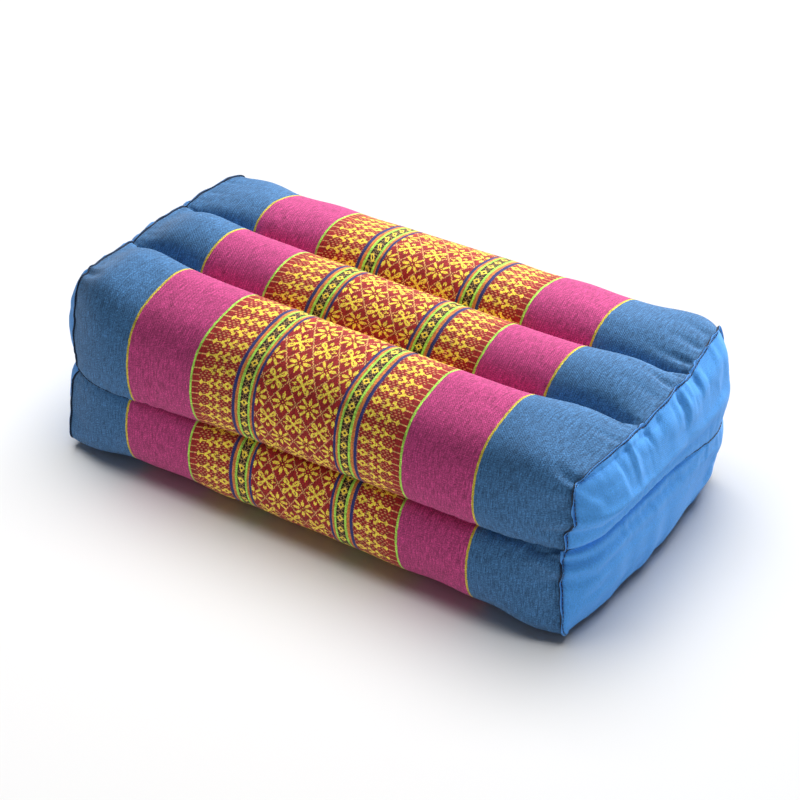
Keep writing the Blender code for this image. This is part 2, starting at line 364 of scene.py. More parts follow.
CREASE_SAG = 10 * MM
SAG_POWER = 3
SAG_END_POWER = 16
CREASE_TUCKS = 4.0 * MM, 0.3 * MM  # depth of the fold at the front and at the back
TUCK_REACH = 2.6 * MM, 1.4 * MM  # above and below the crease
TUCK_BACK = 35 * MM
TUCK_FADE = 80 * MM
HUMP = 4.5 * MM
HUMP_SMOOTHING = 0.7
HUMP_TOP_POWER = 4
HUMP_BASE_POWER = 1.3
HUMP_PLACE = 58 * MM
HUMP_REACH = 32 * MM


# Puckers, folds and the wandering of the seams


def waves(seed, place, shortest, longest):
    """A wavering line of height about 1: sines of seeded lengths and phases, added."""
    rng = np.random.default_rng(seed)
    lengths = rng.uniform(shortest, longest, WAVE_COUNT)
    phases = rng.uniform(0, 2 * np.pi, WAVE_COUNT)
    return np.sin(2 * np.pi * place[..., None] / lengths + phases).sum(axis=-1) / np.sqrt(WAVE_COUNT)


def beside(distance, reach):
    """0 on a stitch line, 1 at the reach and falling away beyond it: d/r * exp(1 - d/r)."""
    return distance / reach * np.exp(1 - distance / reach)


def fold_lines(folds):
    """Each fold's start, run, length, direction across, depth, width and side, one at a time."""
    for start_a, start_b, end_a, end_b, deep, width, side in folds:
        start = np.array([start_a, start_b])
        run = np.array([end_a - start_a, end_b - start_b])
        length = np.linalg.norm(run)
        yield start, run, length, np.array([-run[1], run[0]]) / length, deep, width, side


def fold_depths(places, folds):
    """How deep the listed folds make the cloth, in mm. A fold is a valley along a line, with a
    Gaussian profile, that dies away from its start to its end, and has a lower lip on one side."""
    depth = np.zeros(places.shape[:-1])
    for start, run, length, across, deep, width, lip in fold_lines(folds):
        share = np.clip((places - start) @ run / length**2, 0, 1)
        away = places - start - share[..., None] * run
        valley = np.exp(-(np.linalg.norm(away, axis=-1) / width) ** 2)
        from_lip = away - across * lip * LIP_OFFSET * width
        raised = np.exp(-(np.linalg.norm(from_lip, axis=-1) / width) ** 2)
        depth += deep * (1 - share**2) * (valley - LIP_SHARE * abs(lip) * raised)
    return depth


def step_depths(places, folds):
    """Folds with a steep side, in mm: across each line, tanh(2 d / width) * exp(-|d| / reach) of
    half its height, so the cloth sinks slowly, rises in a short slope and sinks slowly again."""
    depth = np.zeros(places.shape[:-1])
    for start, run, length, across, deep, width, side in fold_lines(folds):
        share = (places - start) @ run / length**2
        within = np.clip(share, 0, 1)
        beyond = np.exp(-(((share - within) * length / width) ** 2))
        away = -side * ((places - start) @ across)
        profile = np.tanh(2 * away / width) * np.exp(-np.abs(away) / (STEP_REACH * width))
        depth += 0.5 * deep * profile * (1 - within**2) * beyond
    return depth


STEP_REACH = 2.2
WAVE_COUNT = 5
LIP_OFFSET = 1.7
LIP_SHARE = 0.6

# Depths and reaches in mm, and the shortest and longest wave of each kind of unevenness
LINE_PUCKER = 1.0
LINE_PUCKER_REACH = 3.2
LINE_WAVES = 7.0, 16.0
LINE_LEAN = 0.25  # how far a pucker leans, for each mm from its stitch line
MIDDLE_SHARE = 0.35  # of the puckers' depth, at the middle of the cushion
END_GATHER = {-1: 0.35, 1: 0.9}
END_GATHER_REACH = 5.0
END_WAVES = 8.0, 22.0
STUFFING = 0.55
STUFFING_WAVES = 38.0, 90.0
STUFFING_LEAN = 0.3
STUFFING_INSET = 20

# Folds of the wrap: x, girth to x, girth, then depth, width and the side of the lip, all in mm.
# A negative depth is a ridge. Girth runs from the front stitch line over the top.
WRAP_FOLDS = [
    (172, 50.5, 150, 46.5, -0.55, 1.3, 0),
    (172, 42.6, 148, 40.0, -0.55, 1.2, 0),
    (172, 34.0, 156, 33.0, -0.35, 1.2, 0),
    (173, 57.5, 158, 63.5, 2.2, 3.0, 1),
    (172, -14.0, 146, -1.5, 2.6, 2.6, 1),
    (172, -26.0, 158, -24.0, 0.6, 3.0, -1),
    (88.0, -1.5, 88.5, -12.0, 1.6, 1.8, 0),
    (97.5, -1.5, 97.0, -9.0, 1.0, 1.6, 0),
    (111.0, -1.5, 111.0, -10.0, 1.1, 1.8, 0),
    (128.6, -1.5, 129.0, -11.0, 1.8, 1.8, 1),
    (134.5, -1.5, 134.5, -9.0, 1.3, 1.5, 0),
    (143.3, -1.5, 143.5, -10.0, 1.6, 1.6, 0),
    (-79.0, 64.0, -82.5, 22.0, 0.7, 4.5, 1),
    (-100.0, 36.0, -98.0, 8.0, 0.4, 4.0, -1),
    (-138.0, 137.0, -137.0, 150.0, 0.7, 1.3, 0),
    (-133.5, 137.0, -133.5, 149.0, 0.7, 1.2, 0),
    (-127.0, 137.0, -128.0, 149.0, 0.6, 1.3, 0),
    (-172, 70.0, -154, 72.0, 1.6, 3.5, 1),
    (-171, 3.0, -150, 6.0, 0.8, 3.0, 1),
    (-120.0, -1.5, -119.0, -14.0, 0.5, 3.0, 0),
    (165.0, 137.0, 152.0, 128.0, 0.8, 2.5, 1),
    (170.0, 103.0, 157.0, 100.0, 0.7, 2.5, 1),
    (171.0, 121.0, 158.0, 117.0, 0.6, 2.0, -1),
    (171.0, 186.0, 156.0, 188.0, 0.9, 2.5, 1),
    (171.0, 200.0, 160.0, 201.0, 0.6, 2.0, 1),
]


def puckered(points):
    """The wrap with what the sewing does to it. Beside each stitch line and end seam the cloth
    dips between its gathers, each tube is a little unevenly stuffed, and single folds lie where
    they lie on the real one."""
    x = wrap_stations()[:, None]
    girth = middle_girth()
    normals = surface_normals(points)
    depth = np.zeros(points.shape[:2])
    to_end = CORNER_X / MM - np.abs(x)
    ends = between(MIDDLE_SHARE, 1, (np.abs(x) / CORNER_X * MM) ** 2)
    for number, (first, last) in enumerate(zip(LINE_INDICES, LINE_INDICES[1:])):
        s = girth[None, first:last] - girth[first]
        width = girth[last] - girth[first]
        for k, distance in ((0, s), (1, width - s)):
            dips = np.clip(waves(10 * number + k, x + LINE_LEAN * distance, *LINE_WAVES), 0, None)
            depth[:, first:last] += LINE_PUCKER * ends * dips * beside(distance, LINE_PUCKER_REACH)
        fullness = waves(100 + number, x + STUFFING_LEAN * s, *STUFFING_WAVES)
        fullness *= np.sin(np.pi * s / width) ** 2
        depth[:, first:last] += STUFFING * fullness * np.clip(to_end / STUFFING_INSET, 0, 1)
    for end in (-1, 1):
        gathers = np.clip(waves(200 + end, girth[None, :-1], *END_WAVES), 0, None)
        depth += END_GATHER[end] * gathers * beside(to_end, END_GATHER_REACH) * (end * x > 0)
    wrapped = np.where(girth[:-1] > girth[-1] / 2 + GIRTH_TURN, girth[:-1] - girth[-1], girth[:-1])
    places = np.stack(np.broadcast_arrays(x, wrapped[None]), axis=-1)
    depth += fold_depths(places, WRAP_FOLDS) + step_depths(places, WRAP_STEPS)
    return points - normals * depth[:, :, None] * MM


# Folds of the wrap with a steep side, listed in the same way
WRAP_STEPS = [
    (173, -3.5, 144, -14.0, 5.5, 3.2, 1),
    (172, 1.0, 150, 6.0, 1.6, 2.0, -1),
    (172, 50.5, 148, 46.0, 1.9, 1.9, 1),
    (172, 42.5, 146, 39.0, 1.8, 1.8, 1),
    (172, 33.0, 152, 31.0, 1.5, 1.8, 1),
    (172, 24.0, 156, 23.0, 1.2, 1.8, -1),
    (172, -30.0, 156, -27.0, 1.4, 2.0, 1),
    (172, -42.0, 160, -41.0, 1.0, 1.6, 1),
    (-172, -16.0, -158, -15.0, 0.8, 1.6, 1),
    (-172, 18.0, -156, 16.0, 0.8, 1.8, 1),
    (-172, 40.0, -158, 42.0, 0.7, 2.0, 1),
]
GIRTH_TURN = 60  # mm past the back stitch line, where folds' girth starts to count backwards


def wrap_stations():
    """Where the wrap's rings lie, in mm from the middle."""
    shares = (np.arange(HALF_STATIONS + 1) / HALF_STATIONS) ** STATION_POWER
    return np.concatenate([shares - 1, 1 - shares[-2::-1]]) * CORNER_X / MM


# How far the end seams wander in X: girth, then how far, in mm. The girth is counted from the
# front stitch line, and backwards on the last stretch before it.
SEAM_WANDER = {
    -1: [(-60, 0), (-10, -0.8), (-4, 1.0), (0, 3.0), (5, 2.6), (12, 1.5), (24, 0), (60, 0)],
    1: [
        (-60, 1), (-52, 2), (-37, 1.5), (-26, -0.4), (-18, -2.4), (-12, -1.2), (-4, -2.6),
        (0, -1.5), (7, -1.0), (14, -1.5), (25, 3.6), (43, 0.8), (52, -0.5), (60, 0),
    ],
}
WANDER = {-1: 0.35, 1: 0.6}
WANDER_WAVES = 14, 40
WANDER_REACH = 16
LAST_STRETCH = 80


def wandering(points):
    """The wrap with its end seams no longer quite straight."""
    points = points.copy()
    girth = lengths_along(points[0]) / MM
    signed = np.where(girth > girth[-1] - LAST_STRETCH, girth - girth[-1], girth)
    for end in (-1, 1):
        known = np.array(SEAM_WANDER[end])
        offset = np.interp(signed, known[:, 0], known[:, 1], 0, 0)
        offset += WANDER[end] * waves(300 + end, girth, *WANDER_WAVES)
        to_end = CORNER_X / MM - end * wrap_stations()
        fade = np.clip(1 - to_end / WANDER_REACH, 0, 1) ** 2
        points[:, :, 0] += fade[:, None] * offset[None] * MM
    return points


# Meshes


def grid_faces(rows, columns, closed):
    """Quads over a grid of points, wound so that rows x columns points out of the page."""
    index = np.arange(rows * columns).reshape(rows, columns)
    beside_it = np.roll(index, -1, axis=1)
    corners = index[:-1], index[1:], beside_it[1:], beside_it[:-1]
    quads = np.stack(corners, axis=-1)
    return (quads if closed else quads[:, :-1]).reshape(-1, 4)


def new_object(name, data):
    """An object with this data, in the scene."""
    thing = bpy.data.objects.new(name, data)
    bpy.context.scene.collection.objects.link(thing)
    return thing


def mesh_object(name, points, faces):
    mesh = bpy.data.meshes.new(name)
    mesh.from_pydata(points.reshape(-1, 3).tolist(), [], faces.tolist())
    return new_object(name, mesh)


def make_piece(name, points, faces, material):
    piece = mesh_object(name, points, faces)
    piece.data.shade_smooth()
    piece.data.materials.append(material)
    return piece


def set_cloth(piece, places):
    """Stores where each face corner lies on the flat cloth, in mm."""
    layer = piece.data.attributes.new("cloth", "FLOAT_VECTOR", "CORNER")
    layer.data.foreach_set("vector", np.asarray(places, np.float32).ravel())


def boundary_indices(count, k):
    """Which of a closed outline's points lie along the end grid's edge, as an index grid whose
    inner entries are -1: rows run from base to top and columns from front to back."""
    half = count // 2
    columns = half - 2 * k + 1
    index = np.full((2 * k + 1, columns), -1)
    index[:, 0] = np.arange(-k, k + 1) % count
    index[-1] = np.arange(k, half - k + 1)
    index[:, -1] = np.arange(half - k, half + k + 1)[::-1]
    index[0] = np.arange(half + k, count - k + 1)[::-1] % count
    return index


def close_ends(points, count, rows):
    """The faces and new points that close both ends of a wrap grid just inside its panels."""
    k = count * CORNER_INDEX // GIRTH_STEPS
    all_points, all_faces = [], []
    start = rows * count
    for end, row in ((-1, 0), (1, rows - 1)):
        cap = end_surface(points[row], end)
        cap[:, :, 0] -= end * CAP_RECESS
        index = boundary_indices(count, k)
        inner = index < 0
        index[~inner] += row * count
        index[inner] = start + np.arange(inner.sum())
        start += inner.sum()
        all_points.append(cap[inner])
        quads = [index[:-1, :-1], index[:-1, 1:], index[1:, 1:], index[1:, :-1]]
        quads = np.stack(quads, axis=-1).reshape(-1, 4)
        all_faces.append(quads[:, ::end])
    return np.concatenate(all_points), np.concatenate(all_faces)


CAP_RECESS = 4 * MM


# Swelling, by cloth simulation


def weight_group(body, name, weights):
    """A vertex group from an array of weights, in a few levels."""
    group = body.vertex_groups.new(name=name)
    level = np.round(np.clip(weights, 0, 1) * WEIGHT_LEVELS).astype(int).ravel()
    for k in range(1, WEIGHT_LEVELS + 1):
        group.add(np.flatnonzero(level == k).tolist(), k / WEIGHT_LEVELS, "REPLACE")


def swollen(points, faces, pins, slack, growth, furthest):
    """The points after a cloth simulation under inside pressure: those with pin weight 1 stay,
    the cloth between them is longer by growth times its slack, and no point goes beyond the
    furthest move."""
    body = mesh_object("swelling", points, faces)
    mesh = body.data
    scene = bpy.context.scene
    weight_group(body, "pins", pins)
    weight_group(body, "slack", slack)
    modifier = body.modifiers.new("cloth", "CLOTH")
    cloth = modifier.settings
    for setting, value in CLOTH_SETTINGS.items():
        setattr(cloth, setting, value)
    cloth.vertex_group_mass = "pins"
    cloth.vertex_group_shrink = "slack"
    cloth.shrink_max = -growth
    cloth.effector_weights.gravity = 0
    modifier.point_cache.frame_start = 1
    modifier.point_cache.frame_end = SWELL_FRAMES
    for number in range(1, SWELL_FRAMES + 1):
        scene.frame_set(number)
    settled = body.evaluated_get(bpy.context.evaluated_depsgraph_get()).data
    moved = np.empty(len(settled.vertices) * 3, np.float32)
    settled.vertices.foreach_get("co", moved)
    bpy.data.objects.remove(body)
    bpy.data.meshes.remove(mesh)
    scene.frame_set(1)
    move = moved.reshape(points.shape) - points
    length = np.linalg.norm(move, axis=-1, keepdims=True)
    return points + move * np.minimum(1, furthest / np.maximum(length, 1e-9))


WEIGHT_LEVELS = 16
SWELL_FRAMES = 20
CLOTH_SETTINGS = {
    "quality": 6,
    "mass": 0.15,
    "tension_stiffness": 20,
    "compression_stiffness": 20,
    "shear_stiffness": 8,
    "bending_stiffness": 0.15,
    "air_damping": 2,
    "shrink_min": 0,
    "use_pressure": True,
    "uniform_pressure_force": 4.0,
}


# Materials


def linear(hex_colour):
    """An sRGB hex colour as linear red, green, blue and alpha."""
    srgb = np.array([int(hex_colour[i : i + 2], 16) for i in (1, 3, 5)]) / 255
    value = np.where(srgb <= 0.04045, srgb / 12.92, ((srgb + 0.055) / 1.055) ** 2.4)
    return (*value, 1.0)


def add(tree, kind, *inputs, **settings):
    """Adds one node. Inputs fill its sockets in order: a node or a socket is linked, and a value is
    set. Settings are the node's own, or else named sockets."""
    node = tree.nodes.new("ShaderNode" + kind)
    for key in [k for k in settings if hasattr(node, k)]:
        setattr(node, key, settings.pop(key))
    named = [(node.inputs[key.replace("_", " ")], value) for key, value in settings.items()]
    for socket, value in list(zip(node.inputs, inputs)) + named:
        if isinstance(value, bpy.types.Node):
            value = value.outputs[0]
        if isinstance(value, bpy.types.NodeSocket):
            tree.links.new(value, socket)
        elif value is not None:
            socket.default_value = value
    return node


def calculated(tree, operation, *values):
    """Adds one Math node."""
    return add(tree, "Math", *values, operation=operation)


def makers(tree):
    """Two functions for this tree: one adds a node of any kind, the other a Math node."""
    return partial(add, tree), partial(calculated, tree)


def yarn_tones(tree, noises):
    """How light the yarns are. Each noise, of about 0.5, becomes a factor of about 1 that goes
    up and down by its spread, and the factors are multiplied."""
    factors = [add(tree, "MapRange", n, *NOISE_RANGE, 1 - spread, 1 + spread) for n, spread in noises]
    return reduce(partial(calculated, tree, "MULTIPLY"), factors)


NOISE_RANGE = 0.3, 0.7  # where most of a noise lies


def new_material(name):
    """A material, its node tree and its shader."""
    material = bpy.data.materials.new(name)
    material.use_nodes = True
    tree = material.node_tree
    return material, tree, tree.nodes["Principled BSDF"]


def charted(tree, chart, row, column):
    """1 where the chart has a mark in that row and column, and 0 elsewhere.

    Each row of the chart is one step of a ramp, whose alpha holds the row's marks as binary
    digits. Doubling it once for each column brings that column's digit to the front of the
    fraction, and the fraction is over a half where the digit is 1."""
    width = len(chart[0])
    position = calculated(tree, "MULTIPLY_ADD", row, 1 / len(chart), 0.5 / len(chart))
    ramp = add(tree, "ValToRGB", position)
    steps = ramp.color_ramp
    steps.interpolation = "CONSTANT"
    steps.elements.remove(steps.elements[-1])
    for i, marks in enumerate(chart):
        step = steps.elements[0] if i == 0 else steps.elements.new(i / len(chart))
        digits = sum(0.5 ** (k + 1) for k, mark in enumerate(marks) if mark == "#")
        step.color = (1, 1, 1, digits + 0.5 ** (width + 1))
    doublings = calculated(tree, "POWER", 2.0, column)
    moved = calculated(tree, "MULTIPLY", ramp.outputs["Alpha"], doublings)
    return calculated(tree, "GREATER_THAN", calculated(tree, "FRACT", moved), 0.5)


def stepped(tree, place, stops):
    """A ramp of plain steps of colour, from (place in mm, hex colour) pairs."""
    first, last = stops[0][0], stops[-1][0]
    ramp = add(tree, "ValToRGB", add(tree, "MapRange", place, first, last, 0.0, 1.0))
    steps = ramp.color_ramp
    steps.interpolation = "CONSTANT"
    steps.elements.remove(steps.elements[-1])
    for i, (start, colour) in enumerate(stops[:-1]):
        share = (start - first) / (last - first)
        step = steps.elements[0] if i == 0 else steps.elements.new(share)
        step.color = linear(colour)
    return ramp


def yarn_streaks(tree, place, width, length):
    """Noise drawn out along the second coordinate, as slubs in the yarns that run that way."""
    drawn = add(tree, "Mapping", place, Scale=(1 / width, 1 / length, 1))
    return add(tree, "TexNoise", drawn, Scale=1.0, Detail=2.0, Roughness=0.6)


def weave_relief(tree, place, pitch):
    """Height of a plain weave: two triangle waves multiplied, so that each thread passes over
    one crossing thread and under the next."""
    parts = add(tree, "SeparateXYZ", place)
    across = calculated(tree, "PINGPONG", parts.outputs[0], pitch)
    along = calculated(tree, "PINGPONG", parts.outputs[1], pitch)
    a = calculated(tree, "MULTIPLY_ADD", across, 2 / pitch, -1.0)
    b = calculated(tree, "MULTIPLY_ADD", along, 2 / pitch, -1.0)
    return calculated(tree, "MULTIPLY", a, b)


def cotton_finish(tree, shader, colour, height, roughness, relief):
    """Sets the shared finish of woven cotton: matt, a little sheen, its weave as relief."""
    tree.links.new(colour, shader.inputs["Base Color"])
    bump = add(tree, "Bump", Height=height, Strength=1.0, Distance=relief)
    tree.links.new(bump.outputs[0], shader.inputs["Normal"])
    if isinstance(roughness, float):
        shader.inputs["Roughness"].default_value = roughness
    else:
        tree.links.new(roughness, shader.inputs["Roughness"])
    shader.inputs["Specular IOR Level"].default_value = 0.2
    shader.inputs["Sheen Weight"].default_value = 0.13
    shader.inputs["Sheen Roughness"].default_value = 0.5


# The woven pattern. One cell is a few threads wide: 0.725 mm across the stripes and 0.7 mm along
# them, so that the flowers repeat every 17.4 mm and 25.2 mm, and the narrow rows every 8.4 mm.
CELL_ACROSS = 0.725
CELL_ALONG = 0.7
REPEAT_COLUMNS = 12  # cells from a flower's middle to the next one's edge
REPEAT_ROWS = 18
NARROW_ROWS = 6

# A quarter of an eight-petalled star, from its middle outward, and below it of a leafy cross: four
# broad leaves with veins on the diagonals and four buds on the axes
FLOWERS = [
    "#..#######...",
    "....#####....",
    "..#..........",
    "#..##........",
    "##.###.......",
    "##..###......",
    "##...###.....",
    "##....##.....",
    "#......#.....",
    "#............",
    ".............",
    ".............",
    "##.....###...",
    "###...##.....",
    ".####........",
    "..#####......",
    "..##.###.....",
    "...##.##.....",
    ".#..####.....",
    "##...##......",
    "##...........",
    "#............",
    ".............",
    ".............",
]
FLOWER_ROWS = len(FLOWERS) // 2

# Upper half of a row of a knot, two trefoils and a rosette, from the green line inward, in two
# parts of seven lines each
MOTIF_COLUMNS = 20
MOTIFS = [
    ".......##########...",
    ".......###....####..",
    "........#.......####",
    ".................###",
    ".................##.",
    "....................",
    "....................",
    ".###.....###...###..",
    ".####....####.####..",
    "...####....#####....",
    "....###.....###.....",
    "....##..............",
    "....................",
    "....................",
]
# The thin line through each row, and the dashes between two rows
DASHES = [
    "#######............#",
    "....................",
    "...........##.......",
    "....................",
    "......##..##..##..##",
    "....................",
    "######..##..##..##..",
    "#.....###.........##",
    "....................",
    ".......##.........##",
    "....................",
    "..##..##..##..##..##",
    "....................",
    "##..##..##..##..##..",
]
# A quarter of a ring of the dark band, and the faint cross between two rings
RINGS = ["####", "###.", "##..", "#...", "....", "....", "...."]
RING_COLUMNS = len(RINGS[0])
RING_EYE = 0.75  # radius of the ring's dark eye, in mm
CROSSES = ["....", "....", "....", ".##.", "#...", ".#..", "..##"]

# Where the stripes change colour, in mm from the middle of the cloth
LATTICE_EDGE = 27.3
DARK_BAND_MIDDLE = 34.55
LINES_END = 43.1
RED_BAND_END = 71.3
LINE_STRIPES = [
    (26.0, "#a6292a"),
    (27.3, "#333c78"),
    (28.9, "#dc8345"),
    (30.4, "#b2ea5c"),
    (31.9, "#2c1c1a"),
    (37.2, "#b2ea5c"),
    (38.9, "#dc8345"),
    (41.0, "#333c78"),
    (43.1, "#a6292a"),
    (46.0, None),
]
WIDE_STRIPES = [
    (50.0, "#a6292a"),
    (71.3, "#b2ea5c"),
    (72.6, "#be437f"),
    (118.3, "#d3c045"),
    (119.8, "#4272a2"),
    (140.0, None),
]
YELLOW = "#ffe050"
PALE_ORANGE = "#f0bc72"
YELLOW_PAINTED_SHEEN = 1.1  # how much brighter the yellow floats are painted than their dye, as painted sheen for their silky shine
TRELLIS_WIDTH = 0.6  # of the diamonds' line, in rows of cells to either side
DASH_FADE = 0.35  # how much fainter the dashes between the rows are than the line through them
CROSS_STRENGTH = 0.5
FLOAT_HEIGHT = 1.5  # of the raised yarns, in heights of the weave
TWILL_TURN = np.radians(-35)
WRAP_THREAD = 0.8  # thread pitch in mm, drawn about twice as coarse as the real one


def brocade_cotton():
    """Cotton with bands of brocade, where extra yellow yarns float over a red ground. The eye
    sees matt stripes with slubby yarns, and raised yellow floats that shine a little more and carry
    painted sheen."""
    material, tree, shader = new_material("brocade_woven_cotton")
    new, calc = makers(tree)
    parts = new("SeparateXYZ", new("Attribute", attribute_name="cloth").outputs["Vector"])
    flat = new("CombineXYZ", parts.outputs[0], parts.outputs[1], 0.0)
    wander = new("TexNoise", flat, Scale=0.35, Detail=1.0)
    drift = new("VectorMath", wander.outputs["Color"], (0.5, 0.5, 0.5), operation="SUBTRACT")
    place = new("VectorMath", drift, (0.7, 0.9, 0.0), flat, operation="MULTIPLY_ADD")
    moved = new("SeparateXYZ", place)
    x = calc("ABSOLUTE", moved.outputs[0])
    along, rows = moved.outputs[1], parts.outputs[2]

    # Stripes
    lines = stepped(tree, x, LINE_STRIPES)
    wide = stepped(tree, x, WIDE_STRIPES)
    outside = calc("GREATER_THAN", x, WIDE_STRIPES[0][0])
    stripes = new("MixRGB", outside, lines, wide)

    # Flowers in a lattice of diamonds: stars and leafy crosses take turns
    reach_across = REPEAT_COLUMNS * CELL_ACROSS
    reach_along = REPEAT_ROWS * CELL_ALONG
    to_side = calc("PINGPONG", moved.outputs[0], reach_across)
    to_row = calc("PINGPONG", along, reach_along)
    column = calc("ROUND", calc("DIVIDE", to_side, CELL_ACROSS))
    row = calc("ROUND", calc("DIVIDE", to_row, CELL_ALONG))
    weight = REPEAT_ROWS / REPEAT_COLUMNS
    diamond = calc("MULTIPLY_ADD", column, weight, row)
    is_star = calc("GREATER_THAN", diamond, REPEAT_ROWS + 0.25)
    star_column = calc("MULTIPLY", is_star, REPEAT_COLUMNS)
    star_row = calc("MULTIPLY", is_star, REPEAT_ROWS)
    own_column = calc("ABSOLUTE", calc("SUBTRACT", star_column, column))
    own_row = calc("ABSOLUTE", calc("SUBTRACT", star_row, row))
    near_row = calc("MINIMUM", own_row, FLOWER_ROWS - 1.0)
    leafy_offset = calc("MULTIPLY_ADD", is_star, -FLOWER_ROWS, FLOWER_ROWS)
    chart_row = calc("ADD", near_row, leafy_offset)
    flower = charted(tree, FLOWERS, chart_row, own_column)
    trellis = calc("COMPARE", diamond, REPEAT_ROWS, TRELLIS_WIDTH)
    in_lattice = calc("LESS_THAN", x, LATTICE_EDGE)

    # Rows of knots, trefoils and rosettes on the red bands
    to_narrow = calc("PINGPONG", rows, NARROW_ROWS * CELL_ALONG)
    narrow_row = calc("ROUND", calc("DIVIDE", to_narrow, CELL_ALONG))
    inward = calc("SUBTRACT", RED_BAND_END, x)
    cell = calc("FLOOR", calc("DIVIDE", inward, CELL_ACROSS))
    part = calc("FLOOR", calc("MULTIPLY", cell, 1 / MOTIF_COLUMNS))
    part_column = calc("MULTIPLY_ADD", part, -MOTIF_COLUMNS, cell)
    part_row = calc("MULTIPLY_ADD", part, NARROW_ROWS + 1.0, narrow_row)
    motif = charted(tree, MOTIFS, part_row, part_column)
    dash = charted(tree, DASHES, part_row, part_column)
    in_red_band = calc("COMPARE", x, (LINES_END + RED_BAND_END) / 2, (RED_BAND_END - LINES_END) / 2)

    # Rings on the dark band
    from_middle = calc("ABSOLUTE", calc("SUBTRACT", x, DARK_BAND_MIDDLE))
    ring_cell = calc("ROUND", calc("DIVIDE", from_middle, CELL_ACROSS))
    ring_column = calc("MINIMUM", ring_cell, RING_COLUMNS - 1.0)
    from_ring = new("VectorMath", new("CombineXYZ", from_middle, to_narrow), operation="LENGTH")
    outside_eye = calc("GREATER_THAN", from_ring.outputs["Value"], RING_EYE)
    ring = calc("MULTIPLY", charted(tree, RINGS, narrow_row, ring_column), outside_eye)
    cross = charted(tree, CROSSES, narrow_row, ring_column)
    in_dark = calc("LESS_THAN", ring_cell, RING_COLUMNS - 0.5)

    # All the raised yarns
    flower_yarn = calc("MULTIPLY", flower, in_lattice)
    trellis_yarn = calc("MULTIPLY", trellis, in_lattice)
    motif_yarn = calc("MULTIPLY", motif, in_red_band)
    between_rows = calc("GREATER_THAN", to_narrow, CELL_ALONG)
    faintness = calc("MULTIPLY_ADD", between_rows, -DASH_FADE, 1.0)
    dash_yarn = calc("MULTIPLY", calc("MULTIPLY", dash, in_red_band), faintness)
    ring_yarn = calc("MULTIPLY", ring, in_dark)
    cross_yarn = calc("MULTIPLY", calc("MULTIPLY", cross, in_dark), CROSS_STRENGTH)
    yellow = calc("MAXIMUM", calc("MAXIMUM", flower_yarn, motif_yarn), ring_yarn)
    pale = calc("MAXIMUM", calc("MAXIMUM", trellis_yarn, dash_yarn), cross_yarn)

    # Colour, with the yarns' unevenness
    grain = yarn_streaks(tree, flat, 0.8, 7.0)
    weft = yarn_streaks(tree, flat, 5.0, 0.7)
    turned = new("Mapping", flat, Rotation=(0, 0, TWILL_TURN))
    twill = yarn_streaks(tree, turned, 3.0, 0.8)
    flecks = new("TexNoise", flat, Scale=1.3, Detail=0.0)
    with_pale = new("MixRGB", pale, stripes, linear(PALE_ORANGE))
    with_yellow = new("MixRGB", yellow, with_pale, linear(YELLOW))
    tones = yarn_tones(tree, [(grain, 0.38), (weft, 0.2), (twill, 0.2), (flecks, 0.24)])
    # painted sheen: the yellow floats' colour is brightened for the shine of the silky yarn
    painted_sheen = new("MapRange", yellow, 0.0, 1.0, 1.0, YELLOW_PAINTED_SHEEN)
    colour = new("VectorMath", with_yellow, calc("MULTIPLY", tones, painted_sheen), operation="MULTIPLY")

    # Relief
    weave = weave_relief(tree, flat, WRAP_THREAD)
    floats = calc("MAXIMUM", yellow, pale)
    height = calc("MULTIPLY_ADD", floats, FLOAT_HEIGHT, weave)
    roughness = new("MapRange", yellow, 0.0, 1.0, 0.85, 0.55)
    cotton_finish(tree, shader, colour.outputs[0], height.outputs[0], roughness.outputs[0], 0.06 * MM)
    return material


PANEL_THREAD = 0.7  # thread pitch in mm, drawn about twice as coarse as the real one
CREASE_SHADE = 0.3  # how light the painted shade leaves the bottom of the crease


def plain_cotton(name, colour):
    """Plain-woven cotton, dyed one colour. The eye sees a fine even weave with faint slubs, and
    painted shade along the bottom of the stitched crease."""
    material, tree, shader = new_material(name)
    new, calc = makers(tree)
    cloth = new("Attribute", attribute_name="cloth").outputs["Vector"]
    place = new("VectorMath", cloth, (1.0, 1.0, 0.0), operation="MULTIPLY")
    # painted shade: darkens the cloth towards the crease row, where the fold lies in shade
    crease = new("MapRange", new("SeparateXYZ", cloth).outputs[2], 0.5, 1.0, 1.0, CREASE_SHADE)
    grain = yarn_streaks(tree, place, 0.6, 4.0)
    flecks = new("TexNoise", place, Scale=1.2, Detail=1.0)
    shade = calc("MULTIPLY", yarn_tones(tree, [(grain, 0.1), (flecks, 0.12)]), crease)
    tinted = new("VectorMath", linear(colour)[:3], shade, operation="MULTIPLY")
    weave = weave_relief(tree, place, PANEL_THREAD)
    cotton_finish(tree, shader, tinted.outputs[0], weave.outputs[0], 0.8, 0.04 * MM)
    return material


def turned_edge():
    """The turned edge of the panel cloth, overcast on the wrap's side with navy thread. The eye
    sees a light fold beside a dark one, with slanting threads over the edge."""
    material, tree, shader = new_material("turned_and_overcast_cotton_edge")
    new, calc = makers(tree)
    place = new("Attribute", attribute_name="cloth").outputs["Vector"]
    parts = new("SeparateXYZ", place)
    waver = new("TexNoise", place, Scale=0.4, Detail=1.0)
    side = calc("MULTIPLY_ADD", waver, 3.0, parts.outputs[2])
    to_panel = new("MapRange", side, EDGE_TURNS, EDGE_TURNS + 1.2, 0.0, 1.0)
    slant = calc("MULTIPLY_ADD", parts.outputs[1], 0.12, parts.outputs[0])
    thread = calc("PINGPONG", slant, OVERCAST_PITCH)
    crown = new("MapRange", thread, 0.0, OVERCAST_PITCH, 0.0, 1.0)
    navy = new("MixRGB", crown, *map(linear, NAVY_THREAD))
    colour = new("MixRGB", to_panel, navy, linear(EDGE_BLUE))
    cotton_finish(tree, shader, colour.outputs[0], thread.outputs[0], 0.8, 0.1 * MM)
    return material


